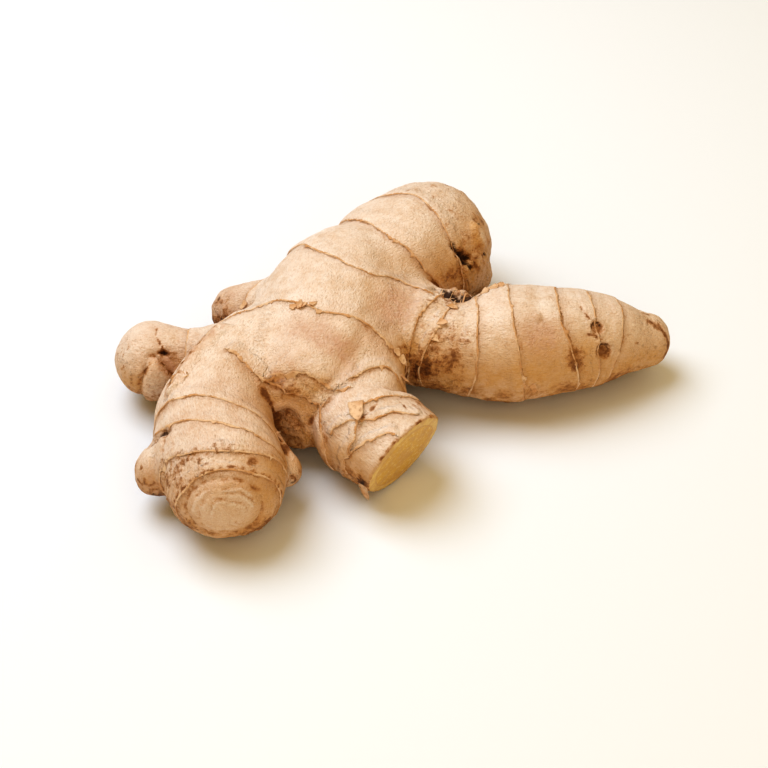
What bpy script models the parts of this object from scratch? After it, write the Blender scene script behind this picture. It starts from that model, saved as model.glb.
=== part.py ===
"""A whole ginger rhizome, lying on a flat surface. It grew as one piece, so it is one closed solid.

The frame is in metres, with +Z up. The rhizome rests on Z = 0, and the middle of its footprint's box is at
the origin. +X runs along its longest side, towards the tip of the pointed finger. +Y runs along the trunk to
the crown.
"""

import math

import bmesh
import bpy
from mathutils import Matrix, Vector

MM = 0.001

# Each limb is a run of stations down its core, in millimetres: the middle's x, y and z, then the half width
# across the limb and its half height. Every limb starts inside the trunk or inside the finger it grew from.
LIMBS = {
    "trunk": (
        (-27, -14, 22, 19, 15),
        (-22.5, -5, 22, 23.5, 18.5),
        (-18.5, 8, 22.5, 22.5, 19.5),
        (-14.5, 20.5, 22.5, 21, 20),
        (-6.5, 29, 22, 18.3, 18),
        (-0.5, 36, 21.5, 21, 20),
        (9.5, 46.5, 19.7, 20.7, 21),
    ),
    "crown_bud": (
        (16, 44.5, 16, 8, 8),
        (24, 41.5, 13.5, 7.2, 7.2),
    ),
    "pointed_finger": (
        (-4, 9, 21.5, 16.5, 14.5),
        (9.5, 6, 19, 15.5, 14),
        (23.5, 3.5, 17, 15.8, 15.5),
        (33, 4.5, 16.7, 18, 17.8),
        (46.5, 6, 16.7, 16, 16),
        (60.5, 9, 14.6, 13.8, 13.8),
        (73.5, 12, 11.5, 9, 9),
    ),
    "front_finger": (
        (-39.5, -5, 23, 13, 13),
        (-48.5, -19, 20.5, 14.3, 14.5),
        (-50.5, -33, 17.5, 17.2, 16.8),
        (-46.5, -50.5, 16, 16.8, 17),
    ),
    "front_left_bud": (
        (-56.5, -35, 17, 10, 10.5),
        (-63.8, -42.5, 12.5, 6.8, 9),
    ),
    "front_right_bud": (
        (-36, -39, 13.5, 7, 7.8),
        (-31.4, -42, 11, 4.6, 6),
    ),
    "left_finger": (
        (-44.5, -1.5, 20, 9.5, 9.5),
        (-57.5, 1, 14.5, 8.8, 8.8),
        (-70.3, 1.5, 13, 12, 12),
    ),
    "cut_finger": (
        (-8.5, -6.5, 23, 12, 12),
        (-7.5, -17.5, 19, 10.8, 11.2),
        (-8.3, -27.5, 15.5, 15.6, 14.8),
        (1.5, -38.5, 14, 14.2, 13.7),
        (10.5, -47.5, 13, 14.2, 13.7),
    ),
    "stub": (
        (-25.5, -11.5, 18, 12, 11),
        (-26.5, -21.5, 13, 10.8, 10.3),
    ),
    "back_bud": (
        (-37.2, 17, 20, 9.3, 9.3),
        (-48, 23, 14, 7.6, 7.6),
    ),
}

SIDES = 28
RING_STEP = 1.5 * MM
CAP_RINGS = 6

# How the limbs grow together: the grain of the fused surface, how far its creases soften, and how much of it
# is kept.
VOXEL = 1.5 * MM
SMOOTH_STEPS = 8
SMOOTH_FACTOR = 0.5
KEPT_SHARE = 0.2

# Where a piece was sliced off the cut finger, in millimetres, and the way that the cut faces.
CUT_POINT = (2.5, -39.5, 14)
CUT_NORMAL = (0.71, -0.64, -0.27)
CUTTER_SIZE = 60 * MM
FLOOR_CUTTER_SIZE = 300 * MM

SKIN_COLOUR = (0.70, 0.48, 0.29, 1.0)
SKIN_ROUGHNESS = 0.75


def clear_scene():
    for obj in list(bpy.data.objects):
        bpy.data.objects.remove(obj)


def read_along(stations, step):
    """Stations read off a smooth curve through the given ones, about step apart."""
    rows = [Vector(row) for row in stations]
    rows = [rows[0] * 2 - rows[1], *rows, rows[-1] * 2 - rows[-2]]
    found = []
    for a, b, c, d in zip(rows, rows[1:], rows[2:], rows[3:]):
        count = max(1, round((c - b).length / step))
        for i in range(count):
            t = i / count
            bend = (c - a) * t + (2 * a - 5 * b + 4 * c - d) * t**2 + (3 * b - a - 3 * c + d) * t**3
            found.append(b + bend / 2)
    return [*found, rows[-2]]


class CrossSection:
    """An ellipse across a limb: its middle, the way along the limb, and its two half axes."""

    def __init__(self, middle, forward, half_width, half_height):
        self.middle = middle
        self.forward = forward.normalized()
        across = self.forward.cross(Vector((0, 0, 1))).normalized()
        self.half_width = across * half_width
        self.half_height = across.cross(self.forward) * half_height

    def ring(self, scale=1.0, shift=0.0):
        """The ellipse's points, scaled and moved along the limb."""
        middle = self.middle + self.forward * shift
        wide, high = self.half_width * scale, self.half_height * scale
        angles = [math.tau * i / SIDES for i in range(SIDES)]
        return [middle + wide * math.cos(a) + high * math.sin(a) for a in angles]


def limb_rings(stations):
    """The rings of points down a limb, with a round cap at each end."""
    rows = read_along([[value * MM for value in row] for row in stations], RING_STEP)
    sections = []
    for i, row in enumerate(rows):
        before = Vector(rows[max(i - 1, 0)][:3])
        after = Vector(rows[min(i + 1, len(rows) - 1)][:3])
        sections.append(CrossSection(Vector(row[:3]), after - before, row[3], row[4]))
    first, last = sections[0], sections[-1]
    bends = [math.pi / 2 * i / (CAP_RINGS + 1) for i in range(1, CAP_RINGS + 1)]
    start = [first.ring(math.cos(b), -first.half_height.length * math.sin(b)) for b in reversed(bends)]
    end = [last.ring(math.cos(b), last.half_height.length * math.sin(b)) for b in bends]
    return [*start, *(section.ring() for section in sections), *end]


def add_limb(bm, stations):
    """A closed tube through the limb's rings."""
    loops = [[bm.verts.new(point) for point in ring] for ring in limb_rings(stations)]
    for near, far in zip(loops, loops[1:]):
        for i in range(SIDES):
            j = (i + 1) % SIDES
            bm.faces.new((near[j], near[i], far[i], far[j]))
    bm.faces.new(loops[0])
    bm.faces.new(reversed(loops[-1]))


def new_object(name, bm):
    mesh = bpy.data.meshes.new(name)
    bm.to_mesh(mesh)
    bm.free()
    obj = bpy.data.objects.new(name, mesh)
    bpy.context.scene.collection.objects.link(obj)
    return obj


def skin_material():
    material = bpy.data.materials.new("ginger_skin")
    material.use_nodes = True
    shader = material.node_tree.nodes["Principled BSDF"]
    shader.inputs["Base Color"].default_value = SKIN_COLOUR
    shader.inputs["Roughness"].default_value = SKIN_ROUGHNESS
    shader.inputs["Metallic"].default_value = 0.0
    return material


def add_cutter(name, size, point, normal):
    """A box that stands on the cut, on the side that is taken away."""
    bm = bmesh.new()
    bmesh.ops.create_cube(bm, size=size)
    facing = Vector(normal).normalized()
    turn = facing.to_track_quat("Z", "Y").to_matrix().to_4x4()
    bm.transform(Matrix.Translation(Vector(point) * MM + facing * size / 2) @ turn)
    cutter = new_object(name, bm)
    cutter.hide_render = True
    cutter.display_type = "WIRE"
    return cutter


def cut_away(obj, cutter):
    modifier = obj.modifiers.new(cutter.name, "BOOLEAN")
    modifier.operation = "DIFFERENCE"
    modifier.object = cutter


def grow_together(obj):
    """Fuses the overlapping limbs into one skin and softens the creases between them."""
    fuse = obj.modifiers.new("fuse", "REMESH")
    fuse.mode = "VOXEL"
    fuse.voxel_size = VOXEL
    fuse.use_smooth_shade = True
    soften = obj.modifiers.new("soften", "SMOOTH")
    soften.factor = SMOOTH_FACTOR
    soften.iterations = SMOOTH_STEPS
    thin = obj.modifiers.new("thin", "DECIMATE")
    thin.ratio = KEPT_SHARE


def build_rhizome():
    bm = bmesh.new()
    for stations in LIMBS.values():
        add_limb(bm, stations)
    rhizome = new_object("rhizome", bm)
    rhizome.data.materials.append(skin_material())
    grow_together(rhizome)
    cut_away(rhizome, add_cutter("slice", CUTTER_SIZE, CUT_POINT, CUT_NORMAL))
    cut_away(rhizome, add_cutter("floor", FLOOR_CUTTER_SIZE, (0, 0, 0), (0, 0, -1)))


clear_scene()
build_rhizome()
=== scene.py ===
"""The looks of a whole ginger rhizome: papery skin with growth rings, buds, scars and one sliced finger.

The shape is grown from the same limbs as the CAD solid, at a finer grain, and its surface is then worked in
numpy. Lengths in the tables and in the working arrays are millimetres. Meshes are in metres.
"""

import itertools
import math
import random
from collections import defaultdict

import bpy
import numpy as np
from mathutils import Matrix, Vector


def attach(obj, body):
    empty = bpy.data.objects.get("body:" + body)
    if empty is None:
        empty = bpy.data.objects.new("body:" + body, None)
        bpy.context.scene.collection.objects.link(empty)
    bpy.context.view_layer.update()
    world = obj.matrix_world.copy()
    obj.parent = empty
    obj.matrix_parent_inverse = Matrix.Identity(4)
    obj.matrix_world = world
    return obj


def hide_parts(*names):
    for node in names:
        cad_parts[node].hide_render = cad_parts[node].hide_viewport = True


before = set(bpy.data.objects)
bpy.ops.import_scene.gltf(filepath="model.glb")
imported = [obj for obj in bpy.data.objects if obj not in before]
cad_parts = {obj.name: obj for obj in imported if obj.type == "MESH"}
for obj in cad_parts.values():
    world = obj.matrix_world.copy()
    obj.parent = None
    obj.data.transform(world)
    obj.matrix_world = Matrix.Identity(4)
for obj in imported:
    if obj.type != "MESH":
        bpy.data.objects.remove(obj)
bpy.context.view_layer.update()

MM = 0.001

# Each limb is a run of stations down its core: the middle's x, y and z, then the half width and half height.
LIMBS = {
    "trunk": (
        (-27, -14, 22, 19, 15),
        (-22.5, -5, 22, 23.5, 18.5),
        (-18.5, 8, 22.5, 22.5, 19.5),
        (-14.5, 20.5, 22.5, 21, 20),
        (-6.5, 29, 22, 18.3, 18),
        (-0.5, 36, 21.5, 21, 20),
        (9.5, 46.5, 19.7, 20.7, 21),
    ),
    "crown_bud": (
        (16, 44.5, 16, 8, 8),
        (24, 41.5, 13.5, 7.2, 7.2),
    ),
    "pointed_finger": (
        (-4, 9, 21.5, 16.5, 14.5),
        (9.5, 6, 19, 15.5, 14),
        (23.5, 3.5, 17, 15.8, 15.5),
        (33, 4.5, 16.7, 18, 17.8),
        (46.5, 6, 16.7, 16, 16),
        (60.5, 9, 14.6, 13.8, 13.8),
        (73.5, 12, 11.5, 9, 9),
    ),
    "front_finger": (
        (-39.5, -5, 23, 13, 13),
        (-48.5, -19, 20.5, 14.3, 14.5),
        (-50.5, -33, 17.5, 17.2, 16.8),
        (-46.5, -50.5, 16, 16.8, 17),
    ),
    "front_left_bud": (
        (-56.5, -35, 17, 10, 10.5),
        (-63.8, -42.5, 12.5, 6.8, 9),
    ),
    "front_right_bud": (
        (-36, -39, 13.5, 7, 7.8),
        (-31.4, -42, 11, 4.6, 6),
    ),
    "left_finger": (
        (-44.5, -1.5, 20, 9.5, 9.5),
        (-57.5, 1, 14.5, 8.8, 8.8),
        (-70.3, 1.5, 13, 12, 12),
    ),
    "cut_finger": (
        (-8.5, -6.5, 23, 12, 12),
        (-7.5, -17.5, 19, 10.8, 11.2),
        (-8.3, -27.5, 15.5, 15.6, 14.8),
        (1.5, -38.5, 14, 14.2, 13.7),
        (10.5, -47.5, 13, 14.2, 13.7),
    ),
    "stub": (
        (-25.5, -11.5, 18, 12, 11),
        (-26.5, -21.5, 13, 10.8, 10.3),
    ),
    "back_bud": (
        (-37.2, 17, 20, 9.3, 9.3),
        (-48, 23, 14, 7.6, 7.6),
    ),
}

# How the limbs are built: points round each, length between stations, and rings in each domed end.
SIDES = 48
PATH_STEP = 1.0
CAP_RINGS = 10

# The straight space round a limb: how far its core runs on past its ends, how softly its bends blend, and how
# far from the core it reaches. The shift keeps one limb's grain apart from the next limb's.
RUN_ON = 25
BEND_BLEND = 4.0
LIMB_REACH = 32
GRAIN_SHIFT = 31

# The grain of the fused body, and how often its creases and then its cut edge are smoothed.
VOXEL = 0.69
CREASE_STEPS = 24
EDGE_STEPS = 3

# What a distance is set to where nothing is near: beside a ring or spot, and outside a limb or path.
FAR = 9.0
OUT_OF_REACH = 99.0

# The dry fringes along rings and tears, and the loose flakes.
FRINGE_STEP = 0.42
FRINGE_THICK = 0.08
FRINGE_LEAST = 0.03
LEAST_TORN = 0.35
FLAKE_THICK = 0.14

# Where old skin overlaps new: how softly the edge falls, and how far its rise and the dip beside it reach.
EDGE_SOFTNESS = 0.22
RISE_REACH = 3.5
DIP_REACH = 1.3
RING_SMOOTHING = 27

# The slice through the front-right finger: a point on it, the way it faces, how far from that point its
# flesh may lie, and the side of the block that cuts it.
CUT_POINT = (2.5, -39.5, 14)
CUT_NORMAL = (0.71, -0.64, -0.27)
CUT_REACH = 20
CUTTER_SIZE = 60

# Growth rings. Each has its limb, the other limbs that it may run onto, which way the older skin overlaps
# (1 towards the limb's tip, -1 towards its base), how high the overlap stands, how wide its dry fringe is,
# and the marks that it passes through: degrees round the limb from its side, and how far along the limb.
RINGS = {
    "trunk_front": (
        "trunk", ("front_finger", "left_finger", "stub", "cut_finger", "pointed_finger"), -1, 0.75, 0.9,
        ((0, 13), (20, 11), (35, 11.5), (50, 11), (65, 9), (80, 8), (98, 8), (115, 9), (135, 10.5), (146, 5),
         (155, -2), (180, -6), (230, 0), (300, 10)),
    ),
    "trunk_middle": (
        "trunk", ("pointed_finger",), -1, 0.7, 0.45,
        ((0, 51), (12, 49), (27, 42), (40, 34), (54, 27.5), (76, 27.3), (96, 29.4), (121, 34), (150, 36),
         (180, 35), (230, 32), (300, 42)),
    ),
    "trunk_neck": (
        "trunk", ("pointed_finger", "crown_bud"), -1, 1.0, 0.7,
        ((4, 55.5), (19, 53.7), (33, 52.4), (51, 51.2), (72, 50), (93, 49.6), (115, 50), (134, 51), (180, 52),
         (270, 53), (330, 55)),
    ),
    "crown": (
        "trunk", ("crown_bud",), -1, 0.7, 0.6,
        ((0, 66), (29, 65), (51, 65.1), (79, 66), (96, 66.9), (108, 64.5), (128, 63), (180, 62), (270, 63)),
    ),
    "pointed_base": (
        "pointed_finger", ("trunk",), 1, 0.9, 1.0,
        ((0, 11.5), (30, 10), (60, 10.7), (90, 13.7), (120, 17), (150, 20), (180, 22), (240, 20), (300, 15)),
    ),
    "pointed_husk": (
        "pointed_finger", (), 1, 0.5, 1.3,
        ((0, 14.5), (30, 15.5), (60, 17.4), (90, 19.5), (120, 22), (150, 24.5), (180, 25.5), (240, 24),
         (300, 19)),
    ),
    "pointed_1": (
        "pointed_finger", (), 1, 0.35, 0.45,
        ((0, 28.5), (60, 28.4), (90, 27.6), (120, 26.4), (150, 25.6), (180, 28), (240, 28), (300, 28)),
    ),
    "pointed_2": (
        "pointed_finger", (), 1, 0.45, 0.6,
        ((0, 40), (30, 38.9), (60, 37.9), (90, 38.3), (120, 39.3), (180, 41.5), (240, 43), (300, 42)),
    ),
    "pointed_3": (
        "pointed_finger", (), 1, 0.5, 0.6,
        ((0, 56), (30, 53), (60, 51.3), (90, 51.3), (120, 53), (180, 55.5), (240, 57.5), (300, 58)),
    ),
    "pointed_4": (
        "pointed_finger", (), 1, 0.25, 0.35,
        ((0, 62), (30, 61), (60, 60.2), (90, 60.2), (120, 61), (180, 62), (240, 63), (300, 62.5)),
    ),
    "pointed_tip": (
        "pointed_finger", (), 1, 0.4, 0.4,
        ((0, 66.3), (30, 67.6), (60, 68.8), (90, 69.8), (120, 70.3), (180, 69.8), (240, 67), (300, 65)),
    ),
    "front_1": (
        "front_finger", (), 1, 0.5, 0.6,
        ((0, 31.6), (30, 30.6), (60, 31.1), (90, 34), (120, 39.2), (150, 43.5), (180, 46), (220, 44),
         (270, 38), (330, 32)),
    ),
    "front_2": (
        "front_finger", (), 1, 0.5, 0.6,
        ((0, 34.9), (30, 36), (60, 39.7), (90, 45), (120, 49.3), (150, 51.6), (180, 52), (240, 47),
         (300, 38)),
    ),
    "front_3": (
        "front_finger", ("front_left_bud", "front_right_bud"), 1, 0.8, 0.8,
        ((0, 46), (30, 47), (55, 50.5), (75, 53.4), (95, 54.6), (120, 55.2), (150, 54.5), (180, 53.5),
         (240, 51), (300, 46)),
    ),
    "front_4": (
        "front_finger", (), 1, 0.6, 0.35,
        ((0, 57.5), (60, 58.6), (90, 58.8), (120, 59.6), (180, 60), (270, 59)),
    ),
    "left_base": (
        "left_finger", (), 1, 0.4, 0.5,
        ((0, 16), (90, 15), (130, 15.5), (180, 17), (270, 16)),
    ),
    "cut_base": (
        "cut_finger", ("stub",), 1, 0.9, 1.0,
        ((0, 26), (30, 22), (60, 18.5), (90, 12.2), (120, 10), (150, 12.4), (180, 18), (240, 26), (300, 28)),
    ),
    "back_bud_base": (
        "back_bud", (), 1, 0.5, 0.6,
        ((0, 2), (90, 1), (140, 1.5), (180, 2), (270, 2)),
    ),
    "left_bud_ring": (
        "front_left_bud", (), 1, 0.35, 0.4,
        ((0, 8), (90, 7.5), (180, 8), (270, 8)),
    ),
}

# Where one limb flows into another with no crease: the two limbs, the middle of the place, and its reach.
BLENDS = (
    ("trunk", "front_finger", (-42, -8, 36), 26),
    ("trunk", "left_finger", (-46, -1, 32), 16),
    ("left_finger", "front_finger", (-50, -6, 32), 9),
    ("trunk", "stub", (-26, -20, 28), 18),
    ("trunk", "cut_finger", (-6, -14, 32), 16),
    ("trunk", "pointed_finger", (2, 6, 36), 22),
    ("cut_finger", "stub", (-16, -22, 26), 9),
    ("trunk", "back_bud", (-36, 17, 32), 10),
    ("front_finger", "front_left_bud", (-63, -36, 22), 9),
    ("front_finger", "front_right_bud", (-34, -43, 19), 7),
)

# Torn edges of old skin that cross several limbs: how high each stands, how wide its fringe is, and its path
# over the surface, with the covered side on the left of the path as seen from outside.
TEARS = {
    "trunk_lip": (
        0.9, 1.3,
        ((-13.5, -28.5, 28.8), (-16.5, -28.4, 28), (-18.8, -27.3, 29.4), (-21.4, -26.9, 31),
         (-24.4, -26, 32.1), (-28, -25.2, 32.6), (-31, -24.8, 32.2), (-33, -24.7, 31.2),
         (-34.8, -25.6, 29.2), (-38, -24.6, 30.6), (-42, -22.3, 33), (-46, -19.5, 34.8)),
    ),
    "lower_lip": (
        0.7, 1.3,
        ((-20, -31.5, 22.5), (-22, -30.1, 24.3), (-24.5, -29, 26.1), (-27, -28.7, 27.2), (-30, -27.6, 27),
         (-33, -26.6, 27.6), (-35.3, -25.8, 28.6)),
    ),
    "cut_top": (
        0.5, 0.7,
        ((6, -28.2, 24), (3.3, -29.1, 26.9), (-1.9, -31.6, 29.1), (-5.9, -33.9, 29.8), (-8.5, -36, 29.3)),
    ),
    "cut_middle": (
        0.6, 0.8,
        ((5.5, -37.5, 27.5), (2.2, -37.6, 28.1), (-1.4, -38.2, 28.3), (-4.4, -38.7, 28.1), (-8, -39.5, 27.7),
         (-12.5, -38.7, 26.6), (-15, -38.8, 24.6), (-17.2, -39, 22)),
    ),
    "cut_split": (
        0.5, 0.6,
        ((-10.7, -39.6, 26.8), (-10.6, -42, 24.9), (-12, -43.3, 22), (-13.5, -44.6, 17.5),
         (-14.2, -43.6, 11)),
    ),
    "cut_low": (
        0.5, 0.6,
        ((-1, -44.5, 26), (-3.9, -44.7, 25.4), (-7.9, -44.9, 23.5), (-11.8, -44.8, 20.3)),
    ),
    "left_ledge": (
        0.9, 1.5,
        ((-61.5, -31.5, 29.5), (-60.2, -27, 31), (-58, -22, 32.3), (-55.8, -17.5, 33), (-53, -13, 33),
         (-50, -8.5, 32.6)),
    ),
}

CAMERA_ELEVATION = 42
CAMERA_DISTANCE = 520
CAMERA_TARGET = (-3.1, -14.5, 18)
LIGHT_TARGET = (0, 0, 20)
FLOOR_HALF = 3000


def unit(rows):
    rows = np.asarray(rows, float)
    return rows / np.maximum(np.linalg.norm(rows, axis=-1, keepdims=True), 1e-9)


def step(low, high, values):
    """0 at low, 1 at high, and a smooth rise between them."""
    share = np.clip((values - low) / (high - low), 0, 1)
    return share * share * (3 - 2 * share)


def peak(values, wide):
    """1 at 0, falling to nothing on both sides."""
    return np.exp(-((values / wide) ** 2))


SHUFFLE = np.tile(np.random.RandomState(5).permutation(256), 3).astype(np.int32)
SLOPES = np.ascontiguousarray(unit(np.random.RandomState(6).normal(size=(256, 3))).T.astype(np.float32))


def noise_at(points, size, seed, wanted=None):
    """Smooth noise from about -1 to 1, with lumps about size across. It is 0 where it isn't wanted."""
    if wanted is not None:
        found = np.zeros(len(points))
        found[wanted] = noise_at(points[wanted], size, seed)
        return found
    where = points.T / size + seed * 7.31
    cell = np.floor(where)
    inside = (where - cell).astype(np.float32)
    fade = inside**3 * (inside * (inside * 6 - 15) + 10)
    shares = np.stack([1 - fade, fade])
    cell = cell.astype(np.int32) & 255
    total = np.zeros(len(points), np.float32)
    for i, j, k in itertools.product((0, 1), repeat=3):
        row = SHUFFLE[cell[0] + i] + cell[1] + j
        slope = SLOPES[:, SHUFFLE[SHUFFLE[row] + cell[2] + k]]
        rise = slope[0] * (inside[0] - i) + slope[1] * (inside[1] - j) + slope[2] * (inside[2] - k)
        total += shares[i, 0] * shares[j, 1] * shares[k, 2] * rise
    return total.astype(float) * 2.0


def read_along(stations, gap):
    """Stations read off a smooth curve through the given ones, about gap apart."""
    rows = [np.array(row, float) for row in stations]
    rows = [rows[0] * 2 - rows[1], *rows, rows[-1] * 2 - rows[-2]]
    found = []
    for a, b, c, d in zip(rows, rows[1:], rows[2:], rows[3:]):
        count = max(1, round(np.linalg.norm(c - b) / gap))
        for i in range(count):
            t = i / count
            bend = (c - a) * t + (2 * a - 5 * b + 4 * c - d) * t**2 + (3 * b - a - 3 * c + d) * t**3
            found.append(b + bend / 2)
    return np.array([*found, rows[-2]])


class Limb:
    """One limb's core, and the straight space around it in which its rings and grain are laid out."""

    def __init__(self, stations):
        rows = read_along(stations, PATH_STEP)
        self.middle = rows[:, :3]
        self.half_width = rows[:, 3]
        self.half_height = rows[:, 4]
        steps = np.linalg.norm(np.diff(self.middle, axis=0), axis=1)
        self.along = np.concatenate([[0], np.cumsum(steps)])
        self.forward = unit(np.gradient(self.middle, axis=0))
        self.across = unit(np.cross(self.forward, (0, 0, 1)))
        self.up = np.cross(self.across, self.forward)

    def ring(self, i, scale=1.0, shift=0.0):
        """The points of the limb's cross-section at station i, scaled and moved along the limb."""
        turn = np.arange(SIDES) * math.tau / SIDES
        wide = np.outer(np.cos(turn), self.across[i] * self.half_width[i])
        high = np.outer(np.sin(turn), self.up[i] * self.half_height[i])
        return self.middle[i] + self.forward[i] * shift + (wide + high) * scale

    def rings(self):
        bends = [math.pi / 2 * i / (CAP_RINGS + 1) for i in range(1, CAP_RINGS + 1)]
        last = len(self.along) - 1
        start = [self.ring(0, math.cos(b), -self.half_height[0] * math.sin(b)) for b in reversed(bends)]
        end = [self.ring(last, math.cos(b), self.half_height[last] * math.sin(b)) for b in bends]
        return np.array([*start, *(self.ring(i) for i in range(last + 1)), *end])

    def run_on(self):
        """The core with a straight stretch added to each end."""
        before = np.arange(-RUN_ON, 0.0)
        after = np.arange(1.0, RUN_ON + 1)
        start = self.middle[0] + before[:, None] * self.forward[0]
        end = self.middle[-1] + after[:, None] * self.forward[-1]
        along = np.concatenate([before, self.along, self.along[-1] + after])
        pad = [(RUN_ON, RUN_ON), (0, 0)]
        frames = [np.pad(rows, pad, mode="edge") for rows in (self.across, self.up)]
        sizes = [np.pad(row, RUN_ON, mode="edge") for row in (self.half_width, self.half_height)]
        return along, np.vstack([start, self.middle, end]), *frames, *sizes

    def straighten(self, points):
        """Each point's place along, across and up the limb, and its reach: 1 on the limb's own surface."""
        along, middle, across, up, half_width, half_height = self.run_on()
        far = (points**2).sum(axis=1)[:, None] - 2 * points @ middle.T + (middle**2).sum(axis=1)
        least = far.min(axis=1)
        near = least < LIMB_REACH**2
        share = np.exp(((least[near, None] - far[near]) / (2 * BEND_BLEND**2)).astype(np.float32))
        share /= share.sum(axis=1)[:, None]
        offset = points[near] - share @ middle
        side = (offset * (share @ across)).sum(axis=1)
        top = (offset * (share @ up)).sum(axis=1)
        place = share @ along
        past_end = np.maximum(place - self.along[-1], 0) + np.maximum(-place, 0)
        wide, high = share @ half_width, share @ half_height
        reach = np.sqrt((side / wide) ** 2 + (top / high) ** 2 + (past_end / high) ** 2)
        found = np.full((4, len(points)), OUT_OF_REACH)
        found[:, near] = place, side, top, reach
        return found


def mesh_object(name, points, faces):
    """A new object from points in millimetres."""
    mesh = bpy.data.meshes.new(name)
    mesh.from_pydata((np.asarray(points) * MM).tolist(), [], faces)
    mesh.update()
    obj = bpy.data.objects.new(name, mesh)
    bpy.context.scene.collection.objects.link(obj)
    return obj


def tube_faces(first, rings, size):
    """Faces of a closed tube: quads between rings of size points each, and a flat face at each end."""
    faces = []
    for low in range(first, first + (rings - 1) * size, size):
        for i in range(size):
            j = (i + 1) % size
            faces.append((low + i, low + j, low + size + j, low + size + i))
    last = first + (rings - 1) * size
    return [*faces, tuple(reversed(range(first, first + size))), tuple(range(last, last + size))]


def limb_tubes():
    """All limbs as closed tubes that run into each other, in one object."""
    points, faces = [], []
    for limb in limbs.values():
        rings = limb.rings()
        faces.extend(face[::-1] for face in tube_faces(len(points), len(rings), SIDES))
        points.extend(rings.reshape(-1, 3))
    return mesh_object("rhizome_skin", points, faces)


def apply_modifiers(obj):
    """Turns what the modifiers make into the object's own mesh."""
    graph = bpy.context.evaluated_depsgraph_get()
    made = bpy.data.meshes.new_from_object(obj.evaluated_get(graph))
    obj.modifiers.clear()
    obj.data = made


def slice_cutter():
    facing = Vector(CUT_NORMAL).normalized()
    half = CUTTER_SIZE / 2
    corners = [(x, y, z) for z in (0, CUTTER_SIZE) for y in (-half, half) for x in (-half, half)]
    faces = [(0, 2, 3, 1), (4, 5, 7, 6), (0, 1, 5, 4), (1, 3, 7, 5), (3, 2, 6, 7), (2, 0, 4, 6)]
    turn = facing.to_track_quat("Z", "Y").to_matrix()
    return mesh_object("slice_cutter", [turn @ Vector(c) + Vector(CUT_POINT) for c in corners], faces)


def grow_body():
    """The fused rhizome with its sliced finger, as an even mesh with no surface detail yet."""
    grown = limb_tubes()
    cutter = slice_cutter()
    for steps in (CREASE_STEPS, EDGE_STEPS):
        fuse = grown.modifiers.new("fuse", "REMESH")
        fuse.mode = "VOXEL"
        fuse.voxel_size = VOXEL * MM
        soften = grown.modifiers.new("soften", "SMOOTH")
        soften.factor = 0.5
        soften.iterations = steps
        if steps == CREASE_STEPS:
            cut = grown.modifiers.new("cut", "BOOLEAN")
            cut.operation = "DIFFERENCE"
            cut.object = cutter
    apply_modifiers(grown)
    bpy.data.objects.remove(cutter)
    grown.data.shade_smooth()
    return grown


MASKS = ("stain_and_shade", "dark", "gold", "pink", "pale", "rough", "flesh", "core", "ring", "ring_near", "streaky")


def read_rows(items, key):
    """One value of three numbers for each of a mesh's items."""
    flat = np.empty(len(items) * 3, np.float32)
    items.foreach_get(key, flat)
    return flat.reshape(-1, 3).astype(float)


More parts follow.
